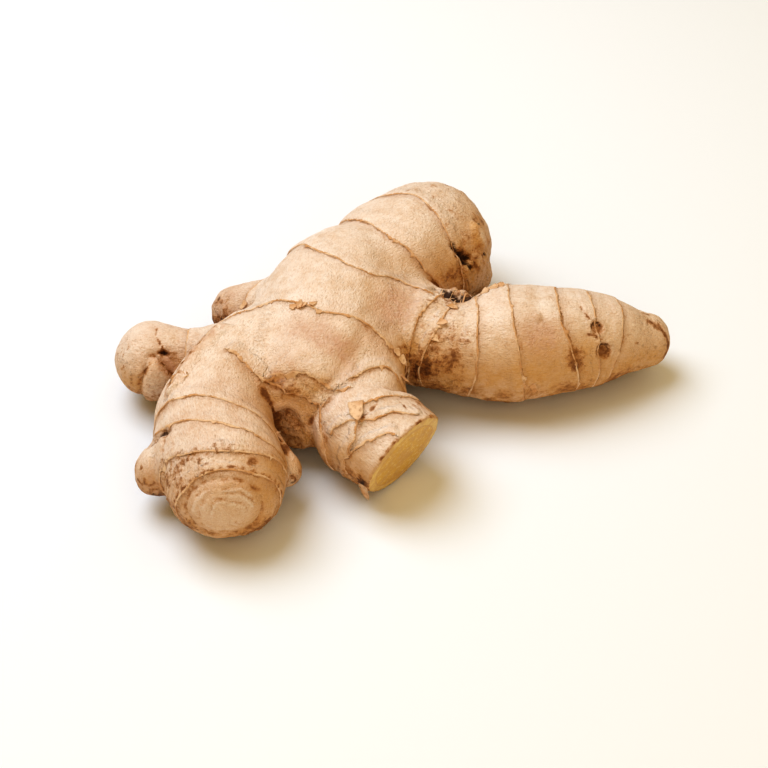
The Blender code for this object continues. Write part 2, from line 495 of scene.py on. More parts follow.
class Skin:
    """The body's points and normals, what lies where on it, and how far its surface is raised."""

    def __init__(self, obj):
        mesh = obj.data
        count = len(mesh.vertices)
        self.points = read_rows(mesh.vertices, "co") / MM
        self.normals = read_rows(mesh.vertex_normals, "vector")
        ends = np.empty(len(mesh.edges) * 2, np.int32)
        mesh.edges.foreach_get("vertices", ends)
        self.edge_a, self.edge_b = ends.reshape(-1, 2).T
        self.degree = np.bincount(ends, minlength=count)
        self.quads = np.array([face.vertices for face in mesh.polygons if len(face.vertices) == 4])
        self.places = {name: limb.straighten(self.points) for name, limb in limbs.items()}
        reaches = np.array([place[3] for place in self.places.values()])
        self.owner = reaches.argmin(axis=0)
        ranked = np.sort(reaches, axis=0)
        self.crease = np.exp((ranked[0] - ranked[1]) / 0.15)
        self.height = np.zeros(count)
        self.masks = {name: np.zeros(count) for name in MASKS}
        self.masks["ring"] += FAR
        self.next_ring = np.full(count, FAR)
        self.edges = []
        self.grain = self.lay_grain()

    def lay_grain(self):
        """Each point's place across, up and along the limb that it belongs to."""
        grain = np.empty_like(self.points)
        for i, (along, side, top, _) in enumerate(self.places.values()):
            own = self.owner == i
            grain[own] = np.stack([side[own], top[own], along[own] + i * GRAIN_SHIFT], axis=1)
        return grain

    def noise(self, size, seed, wanted=None):
        return noise_at(self.points, size, seed, wanted)

    def streaks(self, size, seed, wanted=None):
        """Noise drawn out along each limb."""
        return noise_at(self.grain * (1, 1, 0.25), size, seed, wanted)

    def owned_by(self, *names):
        return np.isin(self.owner, [list(limbs).index(name) for name in names])

    def paint(self, mask, amount):
        self.masks[mask] = np.maximum(self.masks[mask], np.clip(amount, 0, 1))

    def spread(self, values, steps):
        """Values averaged with their neighbours' again and again."""
        for _ in range(steps):
            total = np.bincount(self.edge_a, values[self.edge_b], len(values))
            total += np.bincount(self.edge_b, values[self.edge_a], len(values))
            values = (values + total) / (1 + self.degree)
        return values

    def spread_rows(self, rows, steps):
        return np.array([self.spread(row, steps) for row in rows.T]).T

    def hollow(self, steps):
        """How far each point lies below its surroundings, in millimetres."""
        smooth = self.spread_rows(self.points, steps)
        return ((smooth - self.points) * self.normals).sum(axis=1)

    def blend_limbs(self, obj):
        """Fills the creases where limbs flow into each other, and leaves the deep ones between fingers."""
        soft = np.zeros(len(self.points))
        for one, other, place, radius in BLENDS:
            pair = self.owned_by(one, other)
            far = np.linalg.norm(self.points - np.array(place), axis=1)
            soft = np.maximum(soft, pair * step(radius, radius * 0.6, far))
        soft = self.spread(soft * step(0.0, 0.35, self.crease), 6)
        smooth = self.spread_rows(self.points, 150)
        self.points += (smooth - self.points) * soft[:, None]
        self.write(obj)

    def write(self, obj):
        """Moves the body's own mesh to where the points are now."""
        obj.data.vertices.foreach_set("co", (self.points * MM).astype(np.float32).ravel())
        obj.data.update()
        self.normals = read_rows(obj.data.vertex_normals, "vector")
        self.facing = unit(self.spread_rows(self.normals, 8))

    def add_edge(self, name, gap, strength, lift, fringe):
        """An overlap of old skin, where gap is the distance past its edge on the covered side."""
        cover = 1 / (1 + np.exp(gap / EDGE_SOFTNESS))
        rise = cover * np.exp(np.minimum(gap, 0) / RISE_REACH)
        dip = (1 - cover) * np.exp(-np.maximum(gap, 0) / DIP_REACH)
        self.height += strength * lift * (rise - 0.5 * dip)
        before = np.where(strength > 0.05, np.abs(gap), FAR)
        nearest = np.abs(self.masks["ring"])
        closer = before < nearest
        self.next_ring = np.minimum(self.next_ring, np.maximum(before, nearest))
        self.masks["ring"] = np.where(closer, gap, self.masks["ring"])
        self.masks["ring_near"] = np.where(closer, strength, self.masks["ring_near"])
        self.edges.append((name, gap, strength, fringe))
        # Painted shadow: brown in patches on the covered side just past the edge, more where the overlap
        # stands higher.
        patch = step(0.0, 0.9, self.noise(4.5, len(self.edges) + 200, before < 6))
        self.paint("stain_and_shade", 0.9 * strength * lift * patch * peak(gap - 0.7, 1.1))

    def part_rings(self):
        """Fades each ring's nearness out before the next ring's begins."""
        gap = np.abs(self.masks["ring"])
        share = gap / (gap + self.next_ring)
        self.masks["ring_near"] *= step(0.46, 0.30, share) * step(5.0, 2.5, gap)
        self.masks["ring"] = np.clip(self.masks["ring"], -6, 6)


def ring_line(marks):
    """How far along its limb a ring lies, for each whole degree round it."""
    angles, places = zip(*marks)
    table = np.interp(np.arange(360), angles, places, period=360)
    window = np.hanning(RING_SMOOTHING)[1:-1]
    table = np.convolve(np.tile(table, 3), window / window.sum(), "same")[360:720]
    return np.append(table, table[0])


def lay_rings(skin):
    for seed, (name, ring) in enumerate(RINGS.items()):
        limb, onto, overlap, lift, fringe, marks = ring
        along, side, top, reach = skin.places[limb]
        angle = np.degrees(np.arctan2(top, side)) % 360
        gap = overlap * (along - np.interp(angle, np.arange(361), ring_line(marks)))
        own = skin.owned_by(limb, *onto).astype(float)
        near = (np.abs(gap) < 12) & (own > 0)
        gap += 0.5 * skin.noise(8, seed, near) + 0.13 * skin.noise(2.2, seed, near)
        strength = skin.spread(own, 4) * (0.75 + 0.35 * skin.noise(12, seed + 40, near)) * near
        strength *= (own > 0) * step(1.62, 1.45, reach) * (1 - skin.masks["flesh"])
        skin.add_edge(name, gap, np.clip(strength, 0, 1), lift, fringe)


def path_gap(skin, path, reach):
    """How far each point lies to the left of a path, and how surely it lies beside the path."""
    stations = read_along(path, 0.8)
    ahead = unit(np.gradient(stations, axis=0))
    low, high = stations.min(axis=0) - reach, stations.max(axis=0) + reach
    near = np.flatnonzero(((skin.points > low) & (skin.points < high)).all(axis=1))
    offset = skin.points[near][:, None] - stations
    far = np.linalg.norm(offset, axis=2)
    nearest = far.argmin(axis=1)
    rows = np.arange(len(near))
    left = np.cross(skin.facing[near], ahead[nearest])
    gap = np.full(len(skin.points), OUT_OF_REACH)
    gap[near] = (offset[rows, nearest] * unit(left)).sum(axis=1)
    past_end = np.abs((offset[rows, nearest] * ahead[nearest]).sum(axis=1))
    sure = np.zeros(len(skin.points))
    sure[near] = step(reach, reach * 0.7, far.min(axis=1)) * step(2.5, 0.8, past_end)
    return gap, sure


def lay_tears(skin):
    for seed, (name, (lift, fringe, path)) in enumerate(TEARS.items(), 50):
        gap, strength = path_gap(skin, path, 7)
        near = strength > 0
        gap += 0.9 * skin.noise(4.5, seed, near) + 0.45 * skin.noise(1.8, seed + 5, near)
        skin.add_edge(name, gap, strength, lift, fringe)


def crack(skin, path, wide, deep, mask, seed):
    """A ragged groove along a path, coloured by a mask. A depth below 0 makes a ridge."""
    gap, sure = path_gap(skin, path, wide * 2 + 2)
    near = sure > 0
    frayed = np.abs(gap) + 0.5 * wide * skin.noise(1.8, seed, near)
    groove = sure * step(wide, 0.3 * wide, frayed)
    skin.height -= deep * groove
    skin.paint(mask, groove * (0.6 + 0.6 * skin.noise(2.5, seed + 1, near)))


class Spot:
    """A patch of the surface, measured across and up from its middle in half widths and half heights."""

    def __init__(self, skin, place, facing, wide, high, lean=0.0, taper=0.0):
        self.skin = skin
        facing = unit(facing)
        across = unit(np.cross((0, 0, 1), facing))
        up = np.cross(facing, across)
        turn = math.radians(lean)
        level, upright = across, up
        across = level * math.cos(turn) + upright * math.sin(turn)
        up = upright * math.cos(turn) - level * math.sin(turn)
        offset = skin.points - np.array(place, float)
        deep = np.abs(offset @ facing) > max(wide, high) * 1.5
        away = skin.normals @ facing < 0.1
        self.up = offset @ up / high
        self.across = offset @ across / (wide * (1 - taper * np.clip(self.up, -0.8, 1)))
        self.apart = np.where(deep | away, FAR, np.hypot(self.across, self.up))

    def inside(self, edge=1.0, soft=0.25):
        return step(edge + soft, edge - soft, self.apart)

    def bump(self, edge=1.0):
        """A rounded rise that is 1 at the middle and 0 at the edge."""
        return np.sqrt(np.clip(1 - (self.apart / edge) ** 2, 0, 1))

    def rim(self, at=1.0, wide=0.15):
        return peak(self.apart - at, wide)

    def paint(self, mask, amount, edge, soft, mottle=None):
        """Paints the inside, with its edge and how soft that is. A mottle breaks it up: the noise that
        shows, from low to high, and the noise's size and seed."""
        share = amount * self.inside(edge, soft)
        if mottle:
            low, high, size, seed = mottle
            share = share * step(low, high, self.skin.noise(size, seed, self.apart < 3))
        self.skin.paint(mask, share)
        return self

    def roughen(self, amount, edge, soft, size, depth, seed):
        rough_up(self.skin, amount * self.inside(edge, soft), size, depth, seed)
        return self

    def rise(self, height, edge=1.0):
        self.skin.height += height * self.bump(edge)
        return self


def rough_up(skin, area, size, depth, seed):
    """Corky lumps and cracks inside an area."""
    wanted = area > 0.01
    lumps = skin.noise(size, seed, wanted) + 0.5 * skin.noise(size * 0.45, seed + 1, wanted)
    skin.height += area * depth * lumps
    skin.paint("rough", area)


def soil(skin, area, size, depth, seed, rough, stain_and_shade):
    """Corky brown skin inside an area."""
    rough_up(skin, rough * area, size, depth, seed)
    skin.paint("stain_and_shade", stain_and_shade * area)


def broad_lumps(skin):
    skin.height += 0.5 * skin.noise(15, 60) + 0.22 * skin.noise(6, 61)
    skin.height += 0.10 * skin.noise(2.6, 62)


def fibre_ridges(skin):
    """Fine ridges that run along each limb."""
    skin.height += 0.07 * skin.streaks(1.7, 63) * (1 - skin.masks["flesh"])


def cut_face(skin):
    facing = unit(CUT_NORMAL)
    gap = (skin.points - np.array(CUT_POINT)) @ facing
    flat = step(0.75, 0.93, skin.normals @ facing) * (np.abs(gap) < 0.6)
    near = np.linalg.norm(skin.points - CUT_POINT, axis=1) < CUT_REACH
    flesh = flat * near
    skin.masks["flesh"] = flesh
    skin.masks["core"] = step(0.86, 0.96, skin.spread(flesh, 26)) * flesh
    rim = near * (1 - flesh) * step(-1.6, -0.5, gap)
    skin.height += 0.3 * rim * skin.noise(3, 101, near)
    skin.paint("gold", rim)
    skin.paint("stain_and_shade", rim * (0.45 + 0.5 * skin.noise(2.5, 102, near)))


def root_pit(skin, place, facing, size):
    """A round eye where a root grew: a sunken ring with a raised rim and an amber middle."""
    eye = Spot(skin, place, facing, size, size)
    skin.height += 0.45 * eye.rim(1.25, 0.3) - 1.0 * eye.rim(0.75, 0.35) - 0.35 * eye.inside(0.6, 0.2)
    # Painted shade: dark on the upper side of the sunken ring.
    skin.paint("dark", 0.75 * eye.rim(0.8, 0.25) * step(-0.6, 0.7, eye.up))
    eye.paint("stain_and_shade", 0.8, 1.15, 0.35)
    eye.paint("gold", 1, 0.6, 0.3)


def pointed_finger_marks(skin):
    own = skin.owned_by("pointed_finger")
    along = skin.places["pointed_finger"][0]
    level = skin.normals[:, 2]
    root_pit(skin, (58.5, -0.5, 27.5), (0.3, -0.45, 0.84), 1.9)
    root_pit(skin, (60.6, -4.3, 21.7), (0.3, -0.85, 0.45), 2.3)
    crack(skin, ((54.3, 3.5, 29.8), (55.6, 1.8, 30), (57.3, 0.8, 29)), 0.8, 0.4, "stain_and_shade", 130)
    crack(skin, ((56, -2.8, 26.5), (57.5, -2.6, 25.8), (59.5, -2.5, 24.8)), 0.6, 0.3, "stain_and_shade", 132)
    # Painted shade: brown and dark low on the base, beside the trunk.
    shaded = Spot(skin, (7.5, -9, 20), (0.4, -0.8, 0.4), 5, 6.5)
    shaded.paint("stain_and_shade", 0.95, 0.8, 0.5).paint("dark", 0.4, 0.6, 0.6)
    Spot(skin, (41.6, -5, 28.5), (0.1, -0.6, 0.8), 9, 7).paint("pink", 0.8, 0.8, 0.5)
    # Painted highlight: a pale patch on top.
    Spot(skin, (43.5, 1.5, 32.5), (0.1, -0.45, 0.9), 5, 5.5, 20).paint("pale", 1, 0.9, 0.5)
    Spot(skin, (40.8, -2, 32.2), (0.1, -0.45, 0.9), 1.5, 1.3).rise(0.9).paint("gold", 1, 1.0, 0.3)
    blotch = Spot(skin, (52.4, -8, 21.5), (0.2, -0.9, 0.35), 3.4, 5.5, 12)
    blotch.paint("stain_and_shade", 0.9, 0.8, 0.5).roughen(0.8, 0.8, 0.5, 1.8, 0.3, 70)
    # Painted shade: golden on the sides past the base.
    skin.paint("gold", 0.8 * own * step(0.95, 0.6, level) * step(20, 30, along))
    # Painted highlight: paler on upward faces near the tip.
    skin.paint("pale", 0.5 * own * step(56, 64, along) * step(0.0, 0.8, level))
    pointed_tip(skin, own * step(66, 76, along))
    pointed_base(skin, own)


def pointed_tip(skin, tip):
    """A golden tip with a brown crescent."""
    streaks = skin.streaks(1.9, 71, tip > 0)
    crescent = Spot(skin, (77.5, 6.5, 15), (0.75, -0.55, 0.25), 4.5, 8.5)
    skin.paint("gold", 0.9 * tip)
    skin.paint("stain_and_shade", 0.6 * tip * step(0.3, 0.95, streaks))
    skin.paint("stain_and_shade", crescent.rim(0.8, 0.2) * step(-0.2, 0.6, crescent.across + 0.3 * streaks))
    rough_up(skin, 0.5 * tip, 1.6, 0.2, 72)


def pointed_base(skin, own):
    """Brown stain with painted shade low on the base, and husk where the finger leaves the trunk."""
    along, side, top, _ = skin.places["pointed_finger"]
    base = own * step(31, 22, along) * step(13, 17, along) * step(4, 12, side)
    # Golden and brown on the front of the base: partly stain, partly painted shade.
    skin.paint("gold", base)
    skin.paint("stain_and_shade", 0.7 * base * step(-1.4, 0.3, skin.noise(5, 73)))
    rough_up(skin, 0.8 * base, 2.0, 0.22, 74)
    husk = step(27, 22, along) * step(8, 11, along) * step(5, 9, top + side)
    husk = skin.owned_by("pointed_finger", "trunk") * husk
    skin.paint("gold", husk)
    skin.paint("stain_and_shade", 0.5 * husk * step(-0.1, 0.9, skin.streaks(1.3, 136, husk > 0)))
    rough_up(skin, 0.6 * husk, 1.8, 0.25, 137)


def crown_marks(skin):
    hole = Spot(skin, (20.6, 31.5, 27.8), (0.5, -0.7, 0.5), 2.8, 1.7, -35)
    frayed = hole.apart + 0.9 * skin.noise(1.4, 75, hole.apart < 4)
    skin.height -= 1.6 * step(1.2, 0.3, frayed) * (hole.apart < 3)
    skin.paint("dark", 0.9 * step(1.1, 0.4, frayed))
    skin.paint("stain_and_shade", 0.9 * step(1.7, 0.8, frayed))
    split = ((17.4, 31, 32), (18.8, 31, 30), (20.6, 32, 27.7), (22, 31, 26.4), (22.8, 30.5, 24.4))
    crack(skin, split, 1.1, 0.9, "dark", 154)
    crack(skin, ((22.4, 32.5, 28), (23.6, 32.5, 26), (24, 32, 24)), 0.8, 0.6, "stain_and_shade", 156)
    # Painted shade: golden and brown on the crown's lower side, above the crevice.
    shaded = Spot(skin, (17, 23, 26.5), (0.2, -0.85, 0.4), 12, 6.5)
    shaded.paint("gold", 1, 0.6, 0.8).paint("stain_and_shade", 0.75, 0.4, 0.7)
    around = Spot(skin, (21.5, 30.5, 26), (0.71, -0.57, 0.3), 7, 9)
    around.roughen(0.9, 0.8, 0.4, 2.2, 0.6, 76).paint("stain_and_shade", 0.8, 0.8, 0.4, (-0.2, 0.5, 3, 77))
    Spot(skin, (25.5, 33.5, 20.5), (0.8, -0.55, 0.1), 7, 6.5).rise(1.6, 1.1)
    right = Spot(skin, (22, 38, 28), (0.85, -0.35, 0.35), 9, 14)
    right.paint("stain_and_shade", 0.5, 0.9, 0.3, (-0.2, 0.7, 2.2, 108))
    crown_bud_marks(skin)
    crown_end(skin)


def crown_bud_marks(skin):
    """A golden bud in a dark torn collar."""
    bud = Spot(skin, (25.9, 38.6, 30.6), (0.7, -0.5, 0.5), 3.5, 5.4)
    close = bud.apart < 2
    ragged = bud.apart + 0.12 * skin.noise(2.2, 146, close)
    outer = 0.8 * bud.across - 0.6 * bud.up + 0.35 * skin.noise(1.8, 153, close)
    skin.height += 1.8 * step(1.05, 0.5, ragged) * close
    skin.height -= 1.0 * bud.rim(1.15, 0.16) * step(-0.2, 0.5, outer)
    skin.paint("gold", step(1.1, 0.8, ragged) * close)
    skin.paint("pale", 0.6 * step(0.7, 0.2, ragged) * close)
    skin.paint("stain_and_shade", 0.8 * bud.rim(1.15, 0.15) * step(-1.0, 0.2, outer))
    skin.paint("dark", 0.85 * bud.rim(1.15, 0.15) * step(0.2, 0.8, outer))


def crown_end(skin):
    """The stem scar at the crown's far end, and rougher skin round it."""
    scar = Spot(skin, (6, 66, 21), (-0.1, 0.99, 0.05), 7.5, 6.5)
    broken = step(-0.6, 0.3, skin.noise(3, 152, scar.apart < 2))
    skin.height += 0.7 * scar.bump(1.0) - 0.6 * scar.rim(1.08, 0.1) + 0.3 * scar.rim(0.55, 0.1)
    scar.paint("gold", 0.8, 1.0, 0.2)
    skin.paint("stain_and_shade", 0.8 * scar.rim(1.08, 0.14) * broken)
    far = skin.owned_by("trunk", "crown_bud") * step(64, 69, skin.places["trunk"][0])
    rough_up(skin, 0.45 * far, 2.2, 0.2, 78)
    skin.paint("stain_and_shade", 0.55 * far * step(0.0, 0.9, skin.noise(3.5, 79)))


def crown_crevice(skin):
    """The dark gap under the crown, where dead fibres gather, with painted shade in it."""
    slot = ((13, 13.5, 31), (15.5, 12.5, 30.7), (17.7, 12, 30.4), (19.2, 12, 29.9), (21, 12.5, 29),
            (23, 13.5, 28.5), (25, 16, 26.5))
    saddle = Spot(skin, (18.3, 8.2, 31.8), (0.15, -0.1, 0.98), 6.5, 4.5)
    pocket = Spot(skin, (18, 12, 30.2), (0.1, 0.2, 0.97), 6, 3)
    skin.height -= 2.1 * saddle.inside(0.7, 0.8) + 1.4 * pocket.inside(0.8, 0.4)
    # Painted shade: dark in the pocket and along the slot, brown round it.
    pocket.paint("dark", 0.9, 0.9, 0.4)
    crack(skin, slot, 2.8, 1.2, "dark", 147)
    crack(skin, slot, 5, 0.5, "stain_and_shade", 148)
    side = Spot(skin, (3.4, -11, 22), (0.75, -0.6, 0.3), 3.2, 7.5)
    side.paint("stain_and_shade", 1, 0.9, 0.5, (-0.9, 0.4, 2.0, 149)).roughen(0.8, 0.9, 0.5, 2.0, 0.4, 150)


def front_finger_marks(skin):
    own = skin.owned_by("front_finger")
    along = skin.places["front_finger"][0]
    scar = Spot(skin, (-45.6, -66, 19.6), (0.02, -0.93, 0.37), 9.8, 8.4)
    stem_scar(skin, scar)
    flank = step(0.7, 1.4, scar.apart) * step(2.4, 1.7, scar.apart) * (scar.apart < 5)
    skin.paint("gold", 0.6 * flank * step(-0.4, 0.6, skin.noise(5, 81, scar.apart < 3)))
    patchy = skin.noise(5, 109, scar.apart < 3) + 0.6 * skin.noise(1.3, 151, scar.apart < 3)
    soiled = flank * step(-0.3, 1.1, patchy - 0.5 * scar.across)
    soil(skin, soiled, 1.4, 0.35, 110, rough=0.9, stain_and_shade=0.62)
    below = Spot(skin, (-38.5, -62.5, 8), (0.5, -0.85, -0.2), 8, 2.6, 35)
    below.roughen(0.8, 0.9, 0.5, 2.0, 0.3, 111).paint("stain_and_shade", 1, 0.9, 0.5, (-0.6, 0.4, 3, 112))
    Spot(skin, (-38.2, -56.9, 28.4), (0.3, -0.6, 0.75), 2.4, 1.6).paint("stain_and_shade", 0.9, 0.9, 0.5)
    band = own * step(54.6, 55.4, along) * step(58.6, 56.9, along)
    mottled = step(-0.3, 0.9, noise_at(skin.points * (1, 1, 2), 3, 113, band > 0))
    skin.paint("gold", 0.8 * band)
    skin.paint("stain_and_shade", 0.4 * band * mottled)
    for name, amount in (("front_4", 0.9), ("front_3", 0.4)):
        gap = next(edge[1] for edge in skin.edges if edge[0] == name)
        beside = peak(gap + 0.5, 0.7) * own
        skin.paint("stain_and_shade", amount * beside * step(-0.5, 0.4, skin.noise(1.6, 144, beside > 0.05)))
    front_buds(skin)


def stem_scar(skin, scar):
    """A round scar with a few growth lines, each a pale crest beside a brown groove."""
    close = scar.apart < 2
    lines = np.hypot(scar.across - 0.06, scar.up + 0.1) + 0.1 * skin.noise(4, 80, close)
    lines = np.where(close, lines, FAR)
    skin.height += 0.5 * scar.bump(1.0) - 0.5 * scar.rim(1.05, 0.08)
    for seed, (at, deep) in enumerate(((0.84, 0.4), (0.66, 0.26), (0.44, 0.22)), 103):
        shown = step(-0.5, 0.4, skin.noise(6, seed, close) + 0.5 * scar.up)
        groove = peak(lines - at - 0.08, 0.05) * shown
        crest = peak(lines - at, 0.06) * shown
        skin.height += deep * (crest - groove)
        skin.paint("stain_and_shade", 0.5 * groove)
        skin.paint("pale", 0.8 * crest)
    scar.paint("gold", 0.6, 0.95, 0.15)
    scar.paint("pale", 0.45, 0.8, 0.3)
    skin.paint("stain_and_shade", 0.75 * scar.rim(1.06, 0.08) * step(-0.8, 0.5, skin.noise(2, 82, close)))


def front_buds(skin):
    """Two side buds, each in a dark torn collar."""
    left = Spot(skin, (-66.5, -48, 14), (-0.6, -0.7, 0.35), 6.5, 8)
    left.paint("gold", 0.8, 0.9, 0.4).paint("pink", 0.5, 0.9, 0.4)
    streaks = skin.streaks(1.5, 83, left.apart < 2)
    speckled = left.inside(1.2, 0.4) * step(-0.1, 0.8, streaks - 0.7 * left.up)
    soil(skin, speckled, 1.6, 0.2, 114, rough=0.7, stain_and_shade=0.85)
    above = ((-68, -41, 19), (-66.5, -42.5, 22), (-64.8, -42.7, 24), (-63.4, -42.3, 24.8),
             (-61.5, -43.5, 26.5))
    beside = ((-62, -43.5, 25.5), (-61.5, -47, 24), (-61, -51, 21), (-61.5, -54, 16), (-62, -55, 11))
    collar = ((-31.5, -40.5, 18.5), (-33.5, -44, 18), (-34.5, -47.5, 15.5), (-34.5, -50, 11))
    crack(skin, above, 1.6, 0.8, "stain_and_shade", 115)
    crack(skin, above, 0.9, 0.3, "dark", 157)
    crack(skin, beside, 1.3, 0.8, "stain_and_shade", 117)
    crack(skin, collar, 1.2, 0.7, "stain_and_shade", 159)
    right = Spot(skin, (-29.6, -46, 13.6), (0.43, -0.78, 0.45), 4, 5)
    right.paint("gold", 1, 1.1, 0.3).paint("pale", 0.5, 0.8, 0.5)
    mottled = noise_at(skin.points * (1, 1, 0.6), 1.8, 118, right.apart < 2)
    tip = right.inside(1.0, 0.3) * step(0.0, 0.8, mottled - right.up)
    soil(skin, tip, 1.5, 0.2, 119, rough=0.7, stain_and_shade=0.85)
    Spot(skin, (-66.5, -50.5, 9), (-0.5, -0.8, -0.2), 2.2, 1.6).paint("dark", 0.5, 0.8, 0.5)
    Spot(skin, (-30, -45, 17), (0.4, -0.4, 0.8), 2, 1.6).paint("pale", 0.5, 0.9, 0.4)
    Spot(skin, (-30.5, -41.5, 18), (0.4, -0.4, 0.8), 4, 2.2).paint("stain_and_shade", 0.9, 0.8, 0.4)
    Spot(skin, (-28, -47, 11), (0.7, -0.7, 0.1), 1.6, 1.6).paint("dark", 0.45, 0.8, 0.4)


def left_finger_marks(skin):
    """Two scales that meet at a dark pit, above an almond-shaped bud."""
    almond_bud(skin)
    pink = Spot(skin, (-65.2, -6.8, 18.5), (0.3, -0.75, 0.6), 2.6, 3.6, 0, -0.4)
    pit = Spot(skin, (-66.8, -4.9, 21.6), (0.1, -0.5, 0.85), 1.5, 0.8, -15)
    skin.height -= 0.4 * pink.inside(0.9, 0.3) + 0.8 * pit.inside(0.9)
    pink.paint("pink", 1, 0.9, 0.3)
    skin.paint("stain_and_shade", 0.5 * pink.rim(1.0, 0.2))
    pit.paint("stain_and_shade", 1, 1.3, 0.4).paint("dark", 0.85, 0.8, 0.3)
    left_scale = ((-66.5, -4.5, 21.8), (-68.8, -5.2, 21.3), (-71, -7.4, 19.2), (-73.2, -9.3, 15.5))
    right_scale = ((-66.8, -5, 21.2), (-64.3, -6, 19.6), (-62.6, -7.6, 16.5), (-61.8, -9, 13))
    crack(skin, left_scale, 0.6, 0.5, "stain_and_shade", 122)
    crack(skin, right_scale, 0.6, 0.5, "stain_and_shade", 124)
    crack(skin, ((-67, -4, 22.2), (-69, -1.5, 23.6), (-69.5, 2, 24.4)), 0.6, 0.25, "stain_and_shade", 126)
    end = Spot(skin, (-78, -5, 13), (-0.75, -0.55, 0.25), 9, 10)
    streaks = skin.streaks(0.9, 84, end.apart < 2) + 0.4 * skin.noise(6, 145, end.apart < 2)
    end.paint("gold", 0.8, 0.8, 0.5, (-0.6, 0.4, 5, 128)).roughen(0.6, 1.0, 0.5, 2.0, 0.25, 85)
    skin.paint("stain_and_shade", 0.75 * end.inside(1.0, 0.5) * step(0.0, 0.9, streaks))


def almond_bud(skin):
    bud = Spot(skin, (-68.6, -10.5, 13.6), (0.1, -0.95, 0.3), 4.8, 8.4, 8, 0.45)
    close = bud.apart < 2
    edge = bud.rim(1.1, 0.1)
    right_side = step(-0.9, 0.3, bud.across + 0.5 * skin.noise(3, 120, close))
    low = bud.inside(1.0, 0.2) * step(-0.2, -0.9, bud.up + 0.5 * skin.noise(2.4, 121, close))
    skin.height += (1.7 * bud.bump() - 0.8 * edge) * close
    bud.paint("gold", 1, 0.95, 0.2)
    skin.paint("pale", 0.75 * bud.inside(0.85, 0.4) * step(-0.8, 0.1, bud.up))
    skin.paint("stain_and_shade", 0.8 * edge * right_side)
    skin.paint("stain_and_shade", 0.6 * low)


def left_ledge_ridge(skin):
    """The golden ridge of torn skin where the left finger leaves the front one."""
    ledge = TEARS["left_ledge"][2]
    crack(skin, ledge, 3.4, -0.8, "gold", 160)
    crack(skin, ledge, 3.0, -0.5, "pink", 166)
    crack(skin, ledge, 1.6, 0.3, "stain_and_shade", 162)


def stub_marks(skin):
    """A sunken brown scab, and a band of husk and a pink scrap under the torn lip above it."""
    scab = Spot(skin, (-30.3, -30.8, 15.4), (-0.35, -0.89, 0.3), 4.6, 6.6, 8)
    close = scab.apart < 2
    inner = step(1.05, 0.85, scab.apart + 0.12 * skin.noise(2.5, 86)) * close
    blots = skin.noise(1.6, 88, close) - 0.5 * scab.across
    skin.height += 0.6 * scab.rim(1.18, 0.14) - 1.3 * inner
    soil(skin, inner, 1.5, 0.5, 87, rough=1, stain_and_shade=0.5)
    skin.paint("dark", 0.35 * inner * step(0.2, 1.2, blots))
    husky = Spot(skin, (-25, -27.8, 29), (0.0, -0.75, 0.65), 10, 3.6, 8).inside(0.9, 0.3)
    rough_up(skin, 0.7 * husky, 1.7, 0.4, 89)
    skin.paint("gold", husky)
    skin.paint("stain_and_shade", husky * (0.3 + 0.4 * step(-0.1, 0.9, skin.streaks(1.2, 90, husky > 0))))
    scrap = Spot(skin, (-33, -26, 29.6), (-0.1, -0.75, 0.65), 3.0, 3.2)
    scrap.paint("pink", 1, 0.9, 0.4).paint("stain_and_shade", 0.45, 0.9, 0.4)


def cut_finger_marks(skin):
    """Brown streaks towards the lower side of the sliced finger, and a few cracks near its cut."""
    along, _, top, _ = skin.places["cut_finger"]
    low = skin.owned_by("cut_finger") * step(22, 32, along) * step(6, -6, top)
    skin.paint("gold", low)
    skin.paint("stain_and_shade", 0.9 * low * step(-0.6, 0.5, skin.streaks(1.8, 91, low > 0)))
    rough_up(skin, 0.6 * low, 1.8, 0.25, 92)
    lowest = Spot(skin, (-9.3, -47.3, 10), (-0.7, -0.7, -0.1), 2.6, 4.5)
    lowest.paint("stain_and_shade", 1, 0.9, 0.5).paint("dark", 0.6, 0.6, 0.5)
    corner = Spot(skin, (9, -32, 23), (0.6, 0.1, 0.8), 4.5, 6).roughen(0.6, 0.9, 0.5, 1.6, 0.3, 139)
    streaks = skin.streaks(1.5, 138, corner.apart < 2)
    skin.paint("stain_and_shade", 0.8 * corner.inside(0.9, 0.5) * step(-0.3, 0.6, streaks))
    crack(skin, ((2, -34, 28), (3.8, -35.8, 27.8), (5.3, -37.5, 27.4)), 0.6, 0.35, "stain_and_shade", 140)
    crack(skin, ((-9, -39, 27.8), (-6.5, -37, 28.8), (-5.5, -35.5, 29.3)), 0.7, 0.3, "stain_and_shade", 142)


def back_bud_marks(skin):
    tip = Spot(skin, (-53, 18.5, 14), (-0.75, -0.6, 0.2), 8, 9).roughen(0.9, 0.9, 0.4, 2.4, 0.4, 93)
    tip.paint("gold", 1, 1.5, 0.6).paint("pink", 0.7, 1.7, 0.7)
    tip.paint("stain_and_shade", 0.85, 0.9, 0.4, (-0.6, 0.5, 4, 94)).paint("dark", 0.9, 0.8, 0.4, (0.35, 0.9, 2.0, 95))
    Spot(skin, (-38, 11, 31), (-0.6, -0.2, 0.75), 1.6, 3.2, 20).rise(0.7).paint("gold", 1, 0.9, 0.3)


